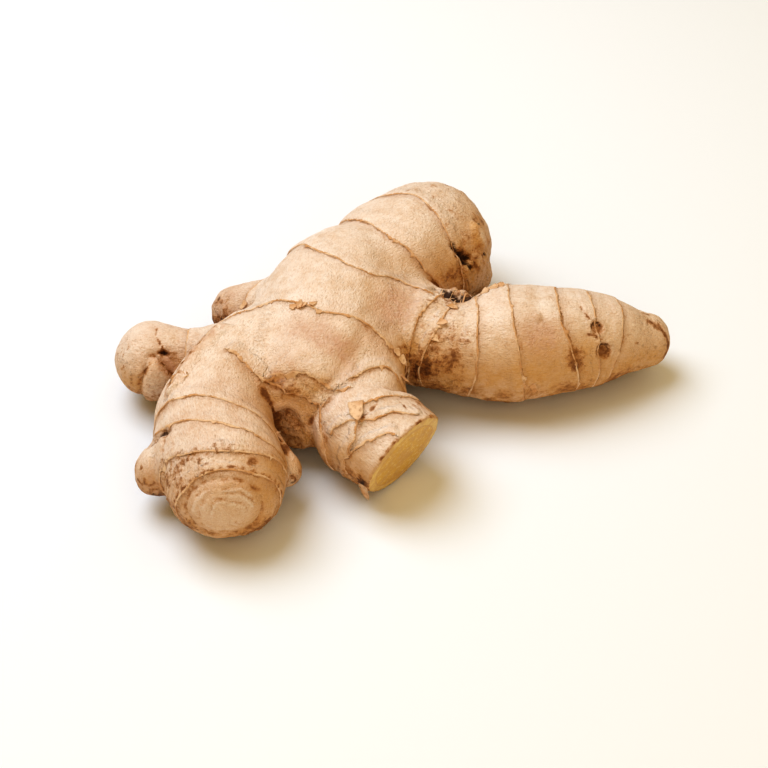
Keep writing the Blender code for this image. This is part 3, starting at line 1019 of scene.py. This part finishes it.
def tones_and_painted_light(skin):
    """Pink, pale and brown areas, a painted highlight on top, and painted shade on the sides, in hollows and
    below.
    """
    normals = skin.normals
    front = Spot(skin, (-20, -18, 37), (0, -0.35, 0.93), 22, 14)
    front.paint("pink", 0.9, 0.7, 0.5, (-0.9, 0.4, 9, 96))
    Spot(skin, (0, 2, 33), (0.45, -0.3, 0.84), 14, 9).paint("pink", 0.9, 0.7, 0.5)
    for place, wide, high, amount in (((-50, -42, 30), 27, 30, 0.45), ((-69, -3, 24), 15, 13, 0.55)):
        older = Spot(skin, place, (-0.1, -0.5, 0.85), wide, high)
        older.paint("pink", amount, 0.8, 0.5, (-0.9, 0.5, 7, 164))
    # Pale patches at random, but only on upward faces: random tone with a painted highlight.
    skin.paint("pale", 0.6 * step(0.25, 0.95, skin.noise(11, 97)) * step(0.2, 0.8, normals[:, 2]))
    # Painted highlight: paler on faces turned up and a little to the left.
    top = step(0.1, 0.95, normals @ unit((-0.4, 0.1, 0.9)))
    skin.paint("pale", 0.95 * top * (0.85 + 0.2 * skin.noise(5, 99)))
    # Painted shade: brown in the hollows, and dark in the deepest of them.
    wide_hollow = skin.hollow(90)
    hollow = step(0.02, 0.5, skin.hollow(14)) + 0.9 * step(0.25, 1.6, wide_hollow)
    skin.paint("stain_and_shade", hollow * (0.85 + 0.4 * skin.noise(3, 98)))
    skin.paint("dark", 0.75 * step(1.2, 3.2, wide_hollow))
    # Painted shade: brown underneath.
    under = step(0.3, -0.7, normals[:, 2])
    skin.paint("stain_and_shade", under * (0.7 + 0.4 * skin.noise(6, 100)))
    # Painted shade: more golden the further a face turns from straight up.
    skin.paint("gold", step(0.95, 0.25, normals[:, 2]) * (0.8 + 0.4 * skin.noise(8, 134)))
    skin.masks["pale"] *= 1 - 0.7 * skin.masks["pink"]
    skin.masks["stain_and_shade"] *= 1 - skin.masks["flesh"]


def root_scars(skin):
    """Small round scars on the back and underneath, where feeding roots broke off."""
    for place, facing, size in ROOT_SCARS:
        root_pit(skin, place, facing, size)


def raise_surface(skin, obj):
    """Moves the body's points out by their heights, and keeps them above the floor."""
    skin.height = np.where(skin.masks["flesh"] > 0.5, 0.0, skin.height)
    skin.height = 0.7 * skin.height + 0.3 * skin.spread(skin.height, 1)
    skin.points = skin.points + skin.normals * skin.height[:, None]
    skin.points[:, 2] = np.maximum(skin.points[:, 2], 0)
    skin.write(obj)


def store(skin, obj):
    """Puts the masks and the grain on the body for its material. The grain fades out between limbs."""
    seam = np.zeros(len(skin.points))
    parted = skin.owner[skin.edge_a] != skin.owner[skin.edge_b]
    seam[skin.edge_a[parted]] = seam[skin.edge_b[parted]] = 1
    skin.masks["streaky"] = step(0.22, 0.02, skin.spread(seam, 10))
    for name, values in skin.masks.items():
        slot = obj.data.attributes.new(name, "FLOAT", "POINT")
        slot.data.foreach_set("value", values.astype(np.float32))
    slot = obj.data.attributes.new("grain", "FLOAT_VECTOR", "POINT")
    slot.data.foreach_set("vector", skin.grain.astype(np.float32).ravel())


TAN = (0.66, 0.42, 0.23, 1)
CREAM = (0.78, 0.58, 0.43, 1)
PINK = (0.62, 0.36, 0.23, 1)
PALE = (0.92, 0.81, 0.72, 1)
GOLD = (0.67, 0.39, 0.145, 1)
# Husk brown, which also colours the painted shade in hollows and underneath.
HUSK_AND_SHADE = (0.52, 0.235, 0.065, 1)
BROWN = (0.21, 0.078, 0.02, 1)
# Colour of the ring lines and of their painted shadows.
RING_BROWN_AND_SHADOW = (0.40, 0.17, 0.035, 1)
DARK = (0.045, 0.016, 0.006, 1)
FLESH = (0.76, 0.47, 0.11, 1)
FLESH_PALE = (0.87, 0.66, 0.28, 1)
DRY_PALE = (0.80, 0.58, 0.38, 1)
DRY_TAN = (0.62, 0.34, 0.15, 1)
DRY_FIBRE = (0.34, 0.14, 0.035, 1)


class Graph:
    """A material's node tree, with short ways to add to it."""

    def __init__(self, name):
        self.material = bpy.data.materials.new(name)
        self.material.use_nodes = True
        self.tree = self.material.node_tree
        self.shader = self.tree.nodes["Principled BSDF"]

    def feed(self, socket, value):
        if isinstance(value, bpy.types.NodeSocket):
            self.tree.links.new(value, socket)
        else:
            socket.default_value = value

    def node(self, kind, inputs, output=0, **settings):
        node = self.tree.nodes.new(kind)
        for key, value in settings.items():
            setattr(node, key, value)
        for key, value in inputs.items():
            self.feed(node.inputs[key], value)
        return node.outputs[output]

    def mask(self, name):
        return self.node("ShaderNodeAttribute", {}, "Fac", attribute_name=name)

    def set(self, name, value):
        self.feed(self.shader.inputs[name], value)

    def layers(self, colour, *layers):
        """A colour with others laid over it, each with its share."""
        for share, over in layers:
            colour = self.mix(share, colour, over)
        return colour

    def math(self, operation, a, b=0.0):
        return self.node("ShaderNodeMath", {0: a, 1: b}, operation=operation)

    def times(self, a, b):
        return self.math("MULTIPLY", a, b)

    def blend(self, share, low, high):
        return self.node("ShaderNodeMix", {0: share, 2: low, 3: high}, 0, data_type="FLOAT")

    def ramp(self, value, low, high, to_low=0.0, to_high=1.0):
        inputs = {"Value": value, "From Min": low, "From Max": high, "To Min": to_low, "To Max": to_high}
        return self.node("ShaderNodeMapRange", inputs, interpolation_type="SMOOTHSTEP")

    def noise(self, where, scale, detail=2.0, roughness=0.5):
        inputs = {"Vector": where, "Scale": scale, "Detail": detail, "Roughness": roughness}
        return self.node("ShaderNodeTexNoise", inputs)

    def mix(self, share, a, b, blend="MIX"):
        inputs = {0: share, 6: a, 7: b}
        return self.node("ShaderNodeMix", inputs, 2, data_type="RGBA", blend_type=blend)

    def bump(self, height, distance, before=None):
        inputs = {"Height": height, "Distance": distance * MM, "Strength": 1.0}
        if before:
            inputs["Normal"] = before
        return self.node("ShaderNodeBump", inputs)


def skin_material():
    """Papery ginger skin: streaked along each limb, with painted shade in hollows, painted glints, and a thin
    dry line at each ring.
    """
    g = Graph("ginger_skin")
    place = g.node("ShaderNodeTexCoord", {}, "Object")
    grain = g.node("ShaderNodeAttribute", {}, "Vector", attribute_name="grain")
    long_grain = g.node("ShaderNodeMapping", {"Vector": grain, "Scale": (1.0, 1.0, 0.3)})
    patches = g.noise(place, 70, 3)
    clouds = g.noise(place, 240, 3, 0.6)
    mottle = g.noise(place, 520, 3, 0.6)
    pebbles = g.noise(place, 1500, 2, 0.6)
    streaky = g.mask("streaky")
    streaks = g.blend(streaky, 0.5, g.noise(long_grain, 1.0, 2, 0.6))
    fibres = g.blend(streaky, pebbles, g.noise(long_grain, 2.8, 2, 0.6))
    # The pale mask, mostly a painted highlight on upward faces, makes the pale fibres and glints stronger.
    pale_and_highlight = g.ramp(g.mask("pale"), 0.0, 0.7, 0.25, 1.0)
    # Painted glints: small pale flecks.
    painted_glints = g.blend(streaky, g.noise(place, 1300, 1), g.noise(long_grain, 4.0, 1))
    specks = g.noise(place, 700, 3, 0.7)
    # The stain mask holds real brown stains and painted shade in hollows, underneath and past ring edges.
    stain_and_shade = g.math("ADD", g.mask("stain_and_shade"), g.ramp(clouds, 0.3, 0.7, -0.2, 0.15))
    stain_and_shade = g.math("ADD", stain_and_shade, g.ramp(specks, 0.3, 0.7, -0.25, 0.2))
    rough = g.mask("rough")
    # The brown line at each ring's edge, with its painted shadow on the covered side.
    line, line_height = ring_lines_and_shadows(g, place, clouds)
    dark = g.math("ADD", g.mask("dark"), g.ramp(specks, 0.3, 0.7, -0.3, 0.15))
    colour = g.layers(
        TAN,
        (g.ramp(patches, 0.35, 0.65), CREAM),
        (g.ramp(clouds, 0.45, 0.75, 0.0, 0.5), GOLD),
        (g.times(g.mask("gold"), g.ramp(clouds, 0.25, 0.65, 0.5, 1.0)), GOLD),
        (g.times(g.mask("pink"), g.ramp(mottle, 0.3, 0.6, 0.4, 1.0)), PINK),
        (g.times(g.mask("pale"), g.ramp(clouds, 0.35, 0.6, 0.6, 1.0)), PALE),
        (g.ramp(streaks, 0.52, 0.78, 0.0, 0.16), HUSK_AND_SHADE),
        (g.ramp(mottle, 0.54, 0.78, 0.0, 0.16), HUSK_AND_SHADE),
        (g.times(pale_and_highlight, g.ramp(fibres, 0.50, 0.70, 0.0, 0.45)), PALE),
        (g.ramp(fibres, 0.48, 0.30, 0.0, 0.24), HUSK_AND_SHADE),
        (g.times(pale_and_highlight, g.ramp(painted_glints, 0.60, 0.72, 0.0, 0.5)), PALE),
        (g.ramp(stain_and_shade, 0.12, 0.75, 0.0, 0.8), HUSK_AND_SHADE),
        (g.ramp(stain_and_shade, 0.4, 1.05, 0.0, 0.9), BROWN),
        (g.times(rough, g.ramp(specks, 0.54, 0.7, 0.0, 0.65)), BROWN),
        (line, RING_BROWN_AND_SHADOW),
        (g.ramp(dark, 0.1, 0.7, 0.0, 0.95), DARK),
        (g.ramp(g.mask("flesh"), 0.35, 0.6), flesh_colour(g, place)),
    )
    g.set("Base Color", colour)
    shine = g.ramp(streaks, 0.3, 0.7, 0.46, 0.62)
    g.set("Roughness", g.math("ADD", shine, g.times(g.mask("stain_and_shade"), 0.2)))
    g.set("Specular IOR Level", 0.45)
    normal = None
    reliefs = ((streaks, 0.12), (fibres, 0.28), (pebbles, 0.38), (mottle, 0.2), (g.times(specks, rough), 0.8),
               (line_height, 0.5))
    for height, distance in reliefs:
        normal = g.bump(height, distance, normal)
    g.set("Normal", normal)
    return g.material


def ring_lines_and_shadows(g, place, clouds):
    """How brown the skin is at a ring's edge, with a painted shadow on the covered side, and how high the
    edge stands.
    """
    ragged = g.noise(place, 900, 2, 0.6)
    gap = g.math("ADD", g.mask("ring"), g.ramp(ragged, 0.2, 0.8, -0.25, 0.25))
    near = g.mask("ring_near")
    wide = g.ramp(clouds, 0.3, 0.7, 0.08, 0.42)
    shape = g.math("DIVIDE", g.math("ABSOLUTE", g.math("SUBTRACT", gap, 0.2)), wide)
    line = g.times(g.ramp(shape, 1.5, 0.4), g.ramp(near, 0.05, 0.5))
    # Painted shadow: brown on the covered side, just past the edge.
    shade = g.times(g.ramp(gap, 2.6, 0.0), g.ramp(gap, -0.3, 0.1))
    shade = g.times(g.times(shade, near), 0.35)
    broken = g.ramp(g.noise(place, 170, 2), 0.35, 0.65, 0.2, 0.8)
    amount = g.math("MAXIMUM", g.times(line, broken), shade)
    height = g.times(g.ramp(gap, 0.25, -0.25), near)
    return amount, height


def flesh_colour(g, place):
    """Yellow flesh with pale fibre ends, and a paler band inside the skin."""
    cells = g.node("ShaderNodeTexVoronoi", {"Vector": place, "Scale": 900.0}, "Distance")
    clouds = g.noise(place, 300, 3)
    core = g.mask("core")
    border = g.times(g.ramp(core, 0.1, 0.5), g.ramp(core, 0.95, 0.5))
    return g.layers(
        FLESH_PALE,
        (g.ramp(cells, 0.1, 0.5), FLESH),
        (g.ramp(core, 0.6, 0.1, 0.0, 0.55), FLESH_PALE),
        (g.times(border, 0.85), GOLD),
        (g.ramp(clouds, 0.4, 0.65, 0.0, 0.6), GOLD),
    )


def husk_material():
    """Dry torn skin: golden tan, with darker fibres."""
    g = Graph("dry_husk")
    place = g.node("ShaderNodeTexCoord", {}, "Object")
    fibres = g.noise(place, 900, 3, 0.6)
    patches = g.ramp(g.noise(place, 200, 3), 0.35, 0.65)
    dark_fibres = g.ramp(fibres, 0.5, 0.75, 0.0, 0.6)
    g.set("Base Color", g.layers(DRY_PALE, (patches, DRY_TAN), (dark_fibres, DRY_FIBRE)))
    g.set("Roughness", g.ramp(fibres, 0.3, 0.7, 0.55, 0.8))
    g.set("Normal", g.bump(fibres, 0.2))
    return g.material


def trace(skin, gap, strength):
    """Runs of surface points where a gap is zero: place, normal, and the way to the covered side."""
    covered = gap > 0
    signs = covered[skin.quads]
    wanted = signs.any(axis=1) & ~signs.all(axis=1) & (strength[skin.quads].min(axis=1) > 0.35)
    links = defaultdict(list)
    for face in skin.quads[wanted].tolist():
        pairs = zip(face, face[1:] + face[:1])
        ends = [tuple(sorted(pair)) for pair in pairs if covered[pair[0]] != covered[pair[1]]]
        if len(ends) == 2:
            links[ends[0]].append(ends[1])
            links[ends[1]].append(ends[0])
    runs = []
    while links:
        start = next((key for key, near in links.items() if len(near) == 1), next(iter(links)))
        run, here = [start], start
        while links.get(here):
            following = links[here].pop()
            links[following].remove(here)
            if not links[here]:
                del links[here]
            here = following
            run.append(here)
        links.pop(here, None)
        links.pop(start, None)
        if len(run) > 6:
            runs.append(crossing_rows(skin, gap, run))
    return runs


def crossing_rows(skin, gap, run):
    """Where a run crosses its mesh edges, as rows of place, normal and way."""
    a, b = np.array(run).T
    share = (gap[a] / (gap[a] - gap[b]))[:, None]
    places = skin.points[a] * (1 - share) + skin.points[b] * share
    normals = unit(skin.normals[a] * (1 - share) + skin.normals[b] * share)
    ways = np.where((gap[a] > 0)[:, None], skin.points[a] - skin.points[b], skin.points[b] - skin.points[a])
    return np.hstack([places, normals, unit(ways)])


def even_run(rows, gap):
    """A run's rows read off at even steps, with the bumps of the mesh smoothed out of it."""
    for _ in range(2):
        middle = rows.copy()
        middle[1:-1] = (rows[:-2] + rows[1:-1] * 2 + rows[2:]) / 4
        rows = middle
    along = np.concatenate([[0], np.cumsum(np.linalg.norm(np.diff(rows[:, :3], axis=0), axis=1))])
    marks = np.arange(0, along[-1], gap)
    return np.array([np.interp(marks, along, column) for column in rows.T]).T


class Pieces:
    """Small closed shapes of dry skin, gathered into one object."""

    def __init__(self):
        self.points = []
        self.faces = []

    def strip(self, sections):
        """A closed tube through sections of equal length, with flat ends."""
        self.faces.extend(tube_faces(len(self.points), len(sections), len(sections[0])))
        for section in sections:
            self.points.extend(section)

    def finish(self, name, material):
        obj = mesh_object(name, self.points, self.faces)
        obj.data.materials.append(material)
        obj.data.shade_smooth()
        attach(obj, "root")
        return obj


def on_skin(skin, place):
    """The skin's nearest point to a place, and the way that the skin faces there."""
    nearest = ((skin.points - place) ** 2).sum(axis=1).argmin()
    return skin.points[nearest], skin.normals[nearest]


def flake(pieces, skin, rng, place, way, length, width, curl):
    """A torn tongue of dry skin that starts in the surface and curls away from it."""
    start, normal = on_skin(skin, place)
    way = unit(np.array(way, float) - normal * (np.array(way, float) @ normal))
    across = np.cross(normal, way)
    sections = []
    lean = rng.uniform(-0.25, 0.25)
    for i in range(9):
        t = i / 8
        middle = start + way * length * (t - 0.12) + across * lean * length * t * t
        middle = middle + normal * (0.1 + curl * length * t**1.8)
        half = width / 2 * (1 - 0.85 * t**4) * rng.uniform(0.8, 1.1)
        shares = np.linspace(-1, 1, 7)
        upper = [middle + across * half * s + normal * (0.12 * width * s * s * (t + 0.1)) for s in shares]
        lower = [point - normal * FLAKE_THICK for point in reversed(upper)]
        sections.append([*upper, *lower])
    pieces.strip(sections)


def hair(pieces, skin, rng, place, way, length, thick):
    """A dry root fibre that tapers and bends."""
    start, normal = on_skin(skin, place)
    lean = unit(np.array(way, float) + [rng.uniform(-0.5, 0.5) for _ in range(3)])
    bend = np.array([rng.uniform(-0.4, 0.4), rng.uniform(-0.4, 0.4), -rng.uniform(0.1, 0.6)])
    sections = []
    for i in range(8):
        t = i / 7
        middle = start - normal * 0.3 + lean * length * t + bend * length * t * t
        forward = unit(lean + 2 * bend * t)
        across = unit(np.cross(forward, (0.3, 0.2, 1)))
        up = np.cross(across, forward)
        radius = thick * (1 - 0.75 * t)
        turns = [math.tau * k / 5 for k in range(5)]
        sections.append([middle + (across * math.cos(a) + up * math.sin(a)) * radius for a in turns])
    pieces.strip(sections)


# Small scars on the back and underneath, where feeding roots broke off: place, facing and size.
ROOT_SCARS = (
    ((-14, 36, 12), (-0.9, 0.3, -0.2), 1.5),
    ((-8, 50, 9), (-0.7, 0.4, -0.6), 1.9),
    ((20, 58, 14), (0.6, 0.7, -0.3), 1.6),
    ((44, 22, 14), (0.1, 0.95, -0.2), 1.7),
    ((60, 18, 17), (0.2, 0.95, 0.1), 1.4),
    ((-33, 12, 8), (-0.4, 0.6, -0.7), 1.6),
    ((-10, 8, 4), (0, 0, -1), 2.0),
    ((12, 28, 5), (0.2, -0.1, -1), 1.8),
    ((48, -4, 5), (0.1, -0.3, -1), 1.7),
    ((-45, -30, 5), (0, 0, -1), 1.9),
)

# Torn tongues of dry skin: where each starts, which way it points, its length and width, and its upward curl.
FLAKES = (
    ((-27, -4.6, 39.5), (0.5, -1, 0), 2.4, 2.6, 0.25),
    ((-25.3, -4.8, 40), (-0.5, -1, 0), 2.2, 2.4, 0.2),
    ((-28.6, -4.2, 39), (-0.2, -1, 0), 2.0, 2.4, 0.25),
    ((-23.5, -5.2, 40), (0.1, -1, 0), 1.6, 2.4, 0.15),
    ((23.5, 9, 31), (0.4, 0.9, 0.2), 2.6, 3.0, 0.08),
    ((26, 9.8, 32), (0.3, 0.9, 0.2), 3.0, 3.2, 0.12),
    ((28.5, 10.6, 32.5), (0.2, 0.9, 0.1), 2.8, 3.0, 0.1),
    ((31, 11.2, 33), (0.3, 0.9, 0.1), 2.4, 2.6, 0.12),
    ((16, 5, 31), (0.7, -0.6, 0.2), 3.4, 2.6, 0.3),
    ((11, -5, 27.5), (0.8, -0.4, -0.3), 3.4, 2.6, 0.22),
    ((13, -1.5, 29.5), (0.8, -0.5, -0.1), 3.0, 2.4, 0.25),
    ((1.5, -17.5, 24), (0.9, -0.4, -0.4), 2.8, 2.4, 0.35),
    ((-10.6, -34.8, 29.4), (0.05, -0.85, -0.5), 6.2, 4.4, 0.03),
    ((-9.3, -47.2, 9), (-0.05, -0.15, -1), 6.0, 3.2, 0.0),
    ((-32.6, -25.4, 31.4), (0.1, -0.8, -0.5), 4.2, 4.4, 0.08),
    ((-29, -25.8, 31.8), (0.3, -0.8, -0.5), 2.8, 3.4, 0.1),
    ((0.3, -11.7, 28.5), (0.6, -0.7, 0), 2.4, 2.2, 0.2),
    ((1.6, -12.4, 26.2), (0.7, -0.6, -0.2), 2.6, 2.4, 0.2),
    ((-57, -21, 32.6), (-0.8, -0.2, -0.2), 2.2, 2.2, 0.15),
    ((-59.8, -26.5, 31), (-0.8, -0.3, -0.3), 2.2, 2.4, 0.15),
    ((40.5, -15.5, 15), (0.5, -0.3, -0.6), 2.6, 2.2, 0.3),
    ((-33.5, -40, 20), (0.5, -0.7, 0.4), 2.0, 2.2, 0.35),
    ((-45, 13, 26), (-0.7, -0.5, -0.4), 2.6, 2.6, 0.3),
)

# Tufts of root fibres: where each grows, which way it leans, how many fibres it has, and how long they are.
TUFTS = (
    ((14, 9.5, 31), (0.6, 0.0, 0.9), 5, 2.2),
    ((18, 8.5, 31.5), (0.4, 0.3, 0.9), 3, 1.6),
    ((21.5, 8.5, 31.5), (0.6, 0.2, 0.8), 4, 1.6),
    ((10, -6, 27), (0.8, -0.4, 0.2), 4, 2.0),
    ((-58, -26, 31), (-0.2, -0.5, 0.6), 6, 2.0),
    ((-36, -41.5, 20), (0.3, -0.3, 0.9), 5, 1.8),
    ((21, 29.5, 27), (0.8, -0.6, 0.1), 4, 1.2),
)


def loose_skin(skin, material):
    rng = random.Random(21)
    pieces = Pieces()
    for place, way, length, width, curl in FLAKES:
        flake(pieces, skin, rng, place, way, length, width, curl)
    return pieces.finish("loose_flakes", material)


def root_hairs(skin, material):
    rng = random.Random(22)
    pieces = Pieces()
    for place, way, count, length in TUFTS:
        for _ in range(count):
            spot = np.array(place) + [rng.uniform(-1.6, 1.6) for _ in range(3)]
            hair(pieces, skin, rng, spot, way, length * rng.uniform(0.5, 1.2), rng.uniform(0.18, 0.3))
    return pieces.finish("root_hairs", material)


def fringe_section(row, width, lift, thick):
    """Six points round the dry edge: out over the covered side and back underneath."""
    place, normal, way = row[:3], unit(row[3:6]), row[6:9]
    way = unit(way - normal * (way @ normal))
    root = place - way * 0.5 + normal * (thick * 0.3)
    bend = place + way * width * 0.45 + normal * (thick + lift * 0.35)
    tip = place + way * width + normal * (thick * 0.5 + lift)
    down = normal * thick
    return [root, bend, tip, tip - down * 0.6, bend - down, root - down * 1.5]


def dry_fringes(skin, material):
    """A thin torn fringe along every ring and tear."""
    rng = random.Random(11)
    pieces = Pieces()
    for seed, (name, gap, strength, fringe) in enumerate(skin.edges):
        for rows in trace(skin, gap, strength):
            rows = even_run(rows, FRINGE_STEP)
            if len(rows) < 6:
                continue
            spots = rows[:, :3]
            torn = name in TEARS
            worn = np.maximum(step(-0.1, 0.8, noise_at(spots, 5, seed + 120)), LEAST_TORN if torn else 0)
            teeth = np.clip(0.4 + 1.8 * noise_at(spots, 1.5 if torn else 1.1, seed + 150), 0.0, 2.2)
            sections = []
            for i, row in enumerate(rows):
                ends = min(1, i / 3, (len(rows) - 1 - i) / 3)
                wanted = fringe * worn[i] * teeth[i] * ends * rng.uniform(0.35, 1.6)
                width = max(FRINGE_LEAST, wanted)
                sections.append(fringe_section(row, width, width * rng.uniform(0.0, 0.5), FRINGE_THICK))
            pieces.strip(sections)
    return pieces.finish("ring_fringes", material)


def studio_floor():
    corners = [(x, y, 0) for y in (-FLOOR_HALF, FLOOR_HALF) for x in (-FLOOR_HALF, FLOOR_HALF)]
    floor = mesh_object("studio_floor", corners, [(0, 1, 3, 2)])
    g = Graph("floor_white")
    g.set("Base Color", (0.88, 0.93, 1.0, 1.0))
    g.set("Roughness", 0.9)
    floor.data.materials.append(g.material)


def set_up(name, data, place, view):
    """Puts a light or the camera in the scene, looking along a view."""
    obj = bpy.data.objects.new(name, data)
    obj.location = place * MM
    obj.rotation_mode = "QUATERNION"
    obj.rotation_quaternion = view.to_track_quat("-Z", "Y")
    bpy.context.scene.collection.objects.link(obj)
    return obj


def soft_light(name, place, size, watts, colour):
    """A square softbox that shines on the rhizome."""
    light = bpy.data.lights.new(name, "AREA")
    light.size = size * MM
    light.energy = watts
    light.color = colour
    set_up(name, light, Vector(place), Vector(LIGHT_TARGET) - Vector(place))


def sky(strength, colour):
    world = bpy.data.worlds.new("studio")
    world.use_nodes = True
    background = world.node_tree.nodes["Background"]
    background.inputs["Color"].default_value = (*colour, 1.0)
    background.inputs["Strength"].default_value = strength
    bpy.context.scene.world = world


def camera():
    """An 85 mm lens that looks down along +Y."""
    slope = math.radians(CAMERA_ELEVATION)
    back = Vector((0, -math.cos(slope), math.sin(slope)))
    data = bpy.data.cameras.new("camera")
    data.lens = 85
    data.sensor_width = 36
    data.clip_start = 0.01
    place = Vector(CAMERA_TARGET) + back * CAMERA_DISTANCE
    bpy.context.scene.camera = set_up("camera", data, place, -back)


def studio():
    studio_floor()
    soft_light("key", (-320, 170, 720), 600, 4.4, (0.79, 0.875, 1.0))
    soft_light("side", (430, 190, 600), 650, 0.5, (1.0, 0.96, 0.88))
    soft_light("fill", (150, -650, 420), 750, 1.35, (1.0, 0.88, 0.72))
    sky(0.285, (1.0, 0.66, 0.17))
    camera()
    bpy.context.scene.view_settings.view_transform = "Standard"
    bpy.context.scene.view_settings.look = "High Contrast"


def work_skin(obj):
    """Works the whole surface: rings, marks, colours with painted light and shade, and fine ridges."""
    skin = Skin(obj)
    skin.blend_limbs(obj)
    cut_face(skin)
    broad_lumps(skin)
    lay_rings(skin)
    lay_tears(skin)
    skin.part_rings()
    for marks in (pointed_finger_marks, crown_marks, crown_crevice, front_finger_marks, left_finger_marks,
                  left_ledge_ridge, stub_marks, cut_finger_marks, back_bud_marks):
        marks(skin)
    root_scars(skin)
    tones_and_painted_light(skin)
    fibre_ridges(skin)
    raise_surface(skin, obj)
    store(skin, obj)
    return skin


limbs = {name: Limb(stations) for name, stations in LIMBS.items()}
body = grow_body()
skin = work_skin(body)
body.data.materials.clear()
body.data.materials.append(skin_material())
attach(body, "root")
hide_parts("rhizome")
husk = husk_material()
dry_fringes(skin, husk)
loose_skin(skin, husk)
root_hairs(skin, husk)
studio()
